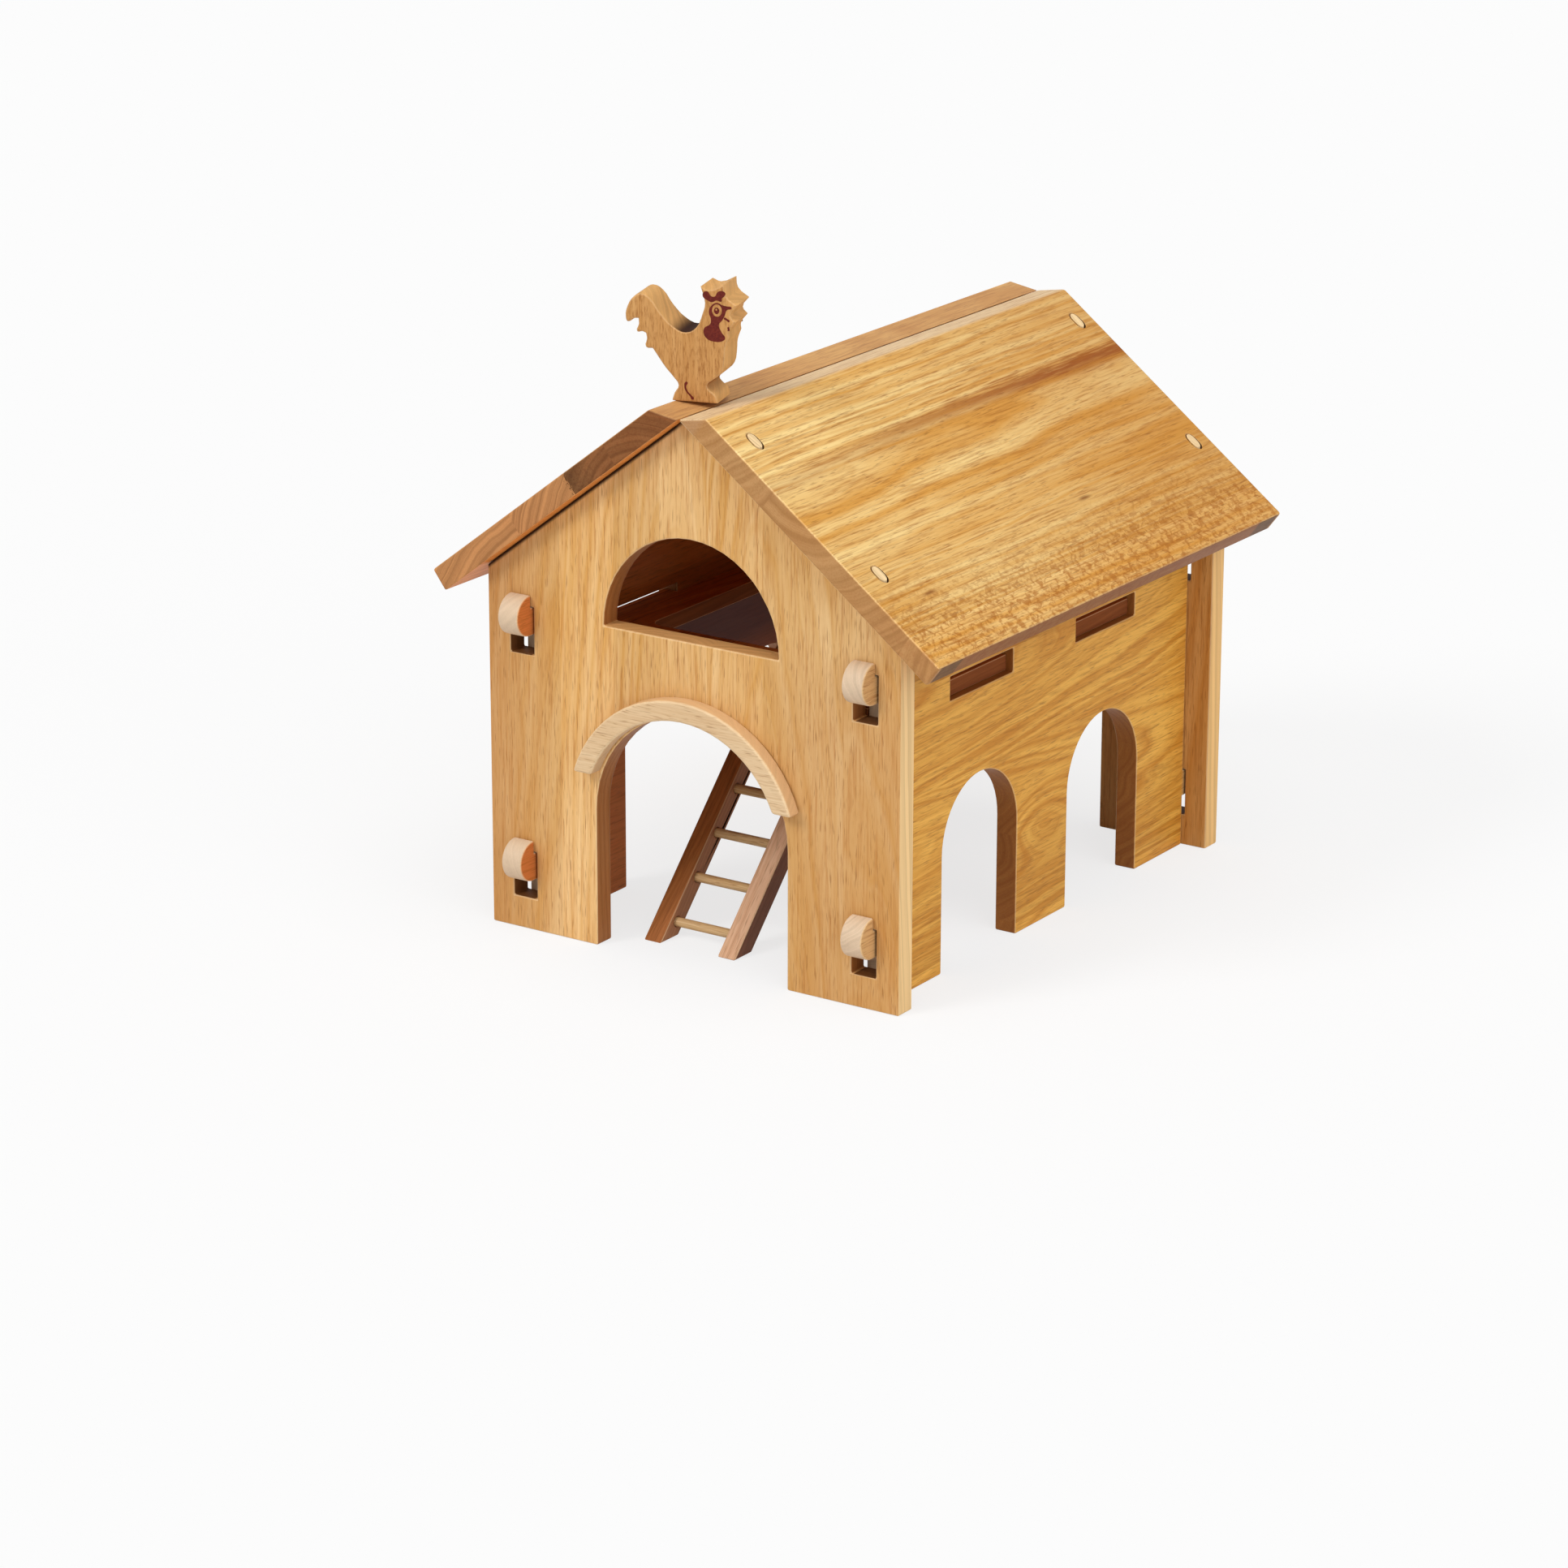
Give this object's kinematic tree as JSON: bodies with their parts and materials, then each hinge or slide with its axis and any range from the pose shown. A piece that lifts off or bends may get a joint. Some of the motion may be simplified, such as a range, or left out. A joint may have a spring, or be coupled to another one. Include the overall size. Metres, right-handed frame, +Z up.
{
  "type": "toy barn",
  "caption": "Wooden toy barn with arched doorways, half-round gable windows, a loft with a hatch and ladder, lift-off roof boards and a turning rooster on the ridge.",
  "frame": {"origin": "middle of the bounding box's bottom face: the middle of the barn's footprint, on the surface it stands on", "axes": "+X to the barn's right as seen from the front, +Y from the front gable to the back gable, +Z up"},
  "size_m": [0.3666, 0.412, 0.4216],
  "materials": {
    "front_wall": "clear satin lacquer on honey-coloured hardwood, upright grain",
    "back_wall": "clear satin lacquer on honey-coloured hardwood, upright grain",
    "left_wall": "clear satin lacquer on honey-coloured hardwood, level grain",
    "right_wall": "clear satin lacquer on honey-coloured hardwood, level grain",
    "door_arch_trim": "clear satin lacquer on pale hardwood",
    "loft_floor": "clear satin lacquer on honey-coloured hardwood",
    "roof_left": "clear satin lacquer on honey-coloured hardwood, level grain",
    "roof_right": "clear satin lacquer on pale honey-coloured hardwood, level grain",
    "ladder_rail": "clear satin lacquer on hardwood strip",
    "ladder_rung": "plain hardwood dowel",
    "rooster": "clear satin lacquer on sawn-out hardwood, a few printed dark red marks",
    "rooster_peg": "plain hardwood dowel"
  },
  "bodies": {
    "barn": {"front_wall": "front_wall", "back_wall": "back_wall", "left_wall": "left_wall", "right_wall": "right_wall", "door_arch_trim": "door_arch_trim", "loft_floor": "loft_floor"},
    "right_roof_board": {"roof_right": "roof_right"},
    "left_roof_board": {"roof_left": "roof_left"},
    "rooster_figure": {"rooster": "rooster", "rooster_peg": "rooster_peg"},
    "ladder": {"ladder_rail_left": "ladder_rail", "ladder_rail_right": "ladder_rail", "ladder_rung_1": "ladder_rung", "ladder_rung_2": "ladder_rung", "ladder_rung_3": "ladder_rung", "ladder_rung_4": "ladder_rung", "ladder_rung_5": "ladder_rung", "ladder_rung_6": "ladder_rung", "ladder_rung_7": "ladder_rung", "ladder_rung_8": "ladder_rung"}
  },
  "joints": [
    {"name": "roof_right_lift", "type": "slide", "parent": "barn", "child": "right_roof_board", "axis": [0, 0, 1], "range_m": [0, 0.14]},
    {"name": "roof_left_lift", "type": "slide", "parent": "right_roof_board", "child": "left_roof_board", "axis": [0, 0, 1], "range_m": [0, 0.14]},
    {"name": "rooster_turn", "type": "hinge", "parent": "left_roof_board", "child": "rooster_figure", "pos_m": [-0.0115, -0.1617, 0.3491], "axis": [0, 0, 1], "continuous": true},
    {"name": "ladder_slide", "type": "slide", "parent": "barn", "child": "ladder", "axis": [0, 0.6909, 0.723], "range_m": [0, 0.14]}
  ]
}
